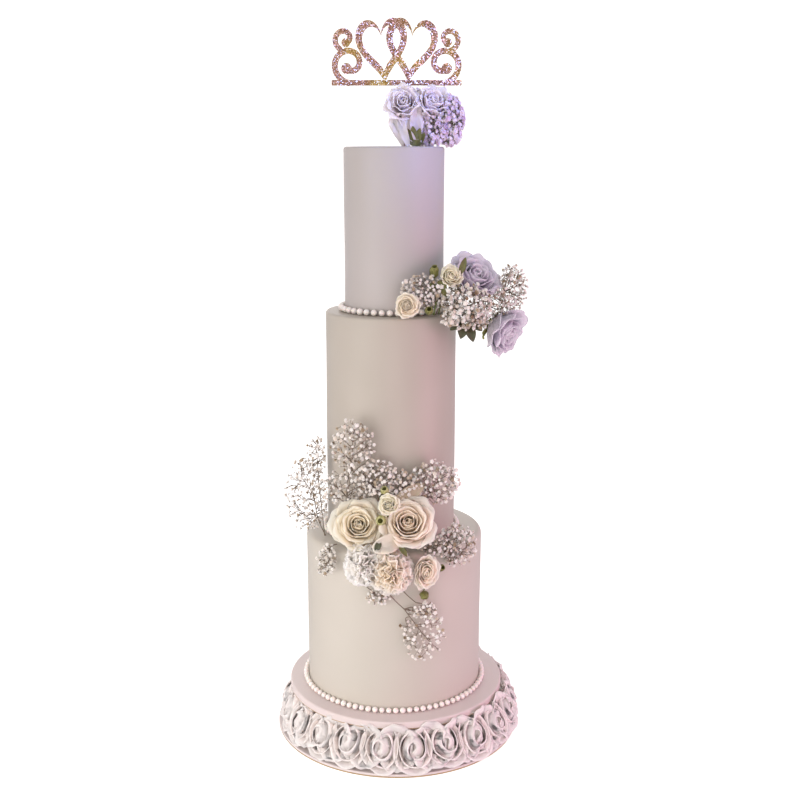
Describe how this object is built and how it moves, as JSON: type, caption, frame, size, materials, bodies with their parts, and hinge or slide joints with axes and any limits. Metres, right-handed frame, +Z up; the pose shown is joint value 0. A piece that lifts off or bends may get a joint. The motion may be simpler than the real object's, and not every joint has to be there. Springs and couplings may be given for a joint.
{
  "type": "tiered wedding cake",
  "caption": "Tall round tiered cake on a rose-trimmed stand, with pearl borders, flower clusters and a flat heart topper.",
  "frame": {"origin": "middle of the stand's round foot, on its underside, where it stands on a table", "axes": "+Z up along the cake, the decorated front faces -Y, +X to the right seen from the front"},
  "size_m": [0.4049, 0.4027, 1.1418],
  "materials": {
    "icing": "smooth matte icing",
    "bottom_icing": "smooth matte icing",
    "board": "iced board, matte",
    "stand": "white satin paint",
    "rim": "dull gold paint",
    "pearl": "soft pearl gloss",
    "artificial_rose": "matte white cloth petals",
    "white_rose": "matte petals",
    "cream_rose": "matte petals",
    "blush_rose": "matte petals",
    "lilac_rose": "matte petals",
    "gypsophila": "matte, very small petals",
    "bud": "matte green",
    "leaf": "matte green",
    "glitter": "gold glitter"
  },
  "bodies": {
    "root": {"stand_foot": "rim", "stand_drum": "stand", "stand_rose_01": "artificial_rose", "stand_rose_02": "artificial_rose", "stand_rose_03": "artificial_rose", "stand_rose_04": "artificial_rose", "stand_rose_05": "artificial_rose", "stand_rose_06": "artificial_rose", "stand_rose_07": "artificial_rose", "stand_rose_08": "artificial_rose", "stand_rose_09": "artificial_rose", "stand_rose_10": "artificial_rose", "stand_rose_11": "artificial_rose", "stand_rose_12": "artificial_rose", "stand_rose_13": "artificial_rose", "stand_rose_14": "artificial_rose", "stand_rose_15": "artificial_rose", "stand_rose_16": "artificial_rose", "stand_rose_17": "artificial_rose", "stand_rose_18": "artificial_rose", "stand_rose_19": "artificial_rose", "stand_rose_20": "artificial_rose", "stand_rose_21": "artificial_rose", "stand_rose_22": "artificial_rose", "cake_board": "board", "tier_bottom": "bottom_icing", "tier_middle": "icing", "tier_top": "icing", "border_bottom": "pearl", "border_middle": "pearl", "border_top": "pearl", "topper": "glitter", "top_rose_left": "white_rose", "top_rose_right": "white_rose", "top_petals": "white_rose", "middle_rose_small": "white_rose", "front_rose_left": "white_rose", "carnation_white": "white_rose", "middle_rose_large": "lilac_rose", "middle_rose_low": "lilac_rose", "middle_rose_cream": "cream_rose", "front_rose_small": "cream_rose", "front_rose_oval": "cream_rose", "front_rose_right": "blush_rose", "carnation_peach": "blush_rose", "middle_buds": "bud", "front_buds_middle": "bud", "front_buds_right": "bud", "middle_foliage": "leaf", "top_spray": "gypsophila", "middle_spray_left": "gypsophila", "middle_spray_centre": "gypsophila", "middle_spray_right": "gypsophila", "spray_upper_left": "gypsophila", "spray_upper_middle": "gypsophila", "spray_upper_right": "gypsophila", "spray_lower_right": "gypsophila", "spray_lower_left": "gypsophila", "spray_hanging": "gypsophila", "spray_left_back": "gypsophila"}
  },
  "joints": []
}
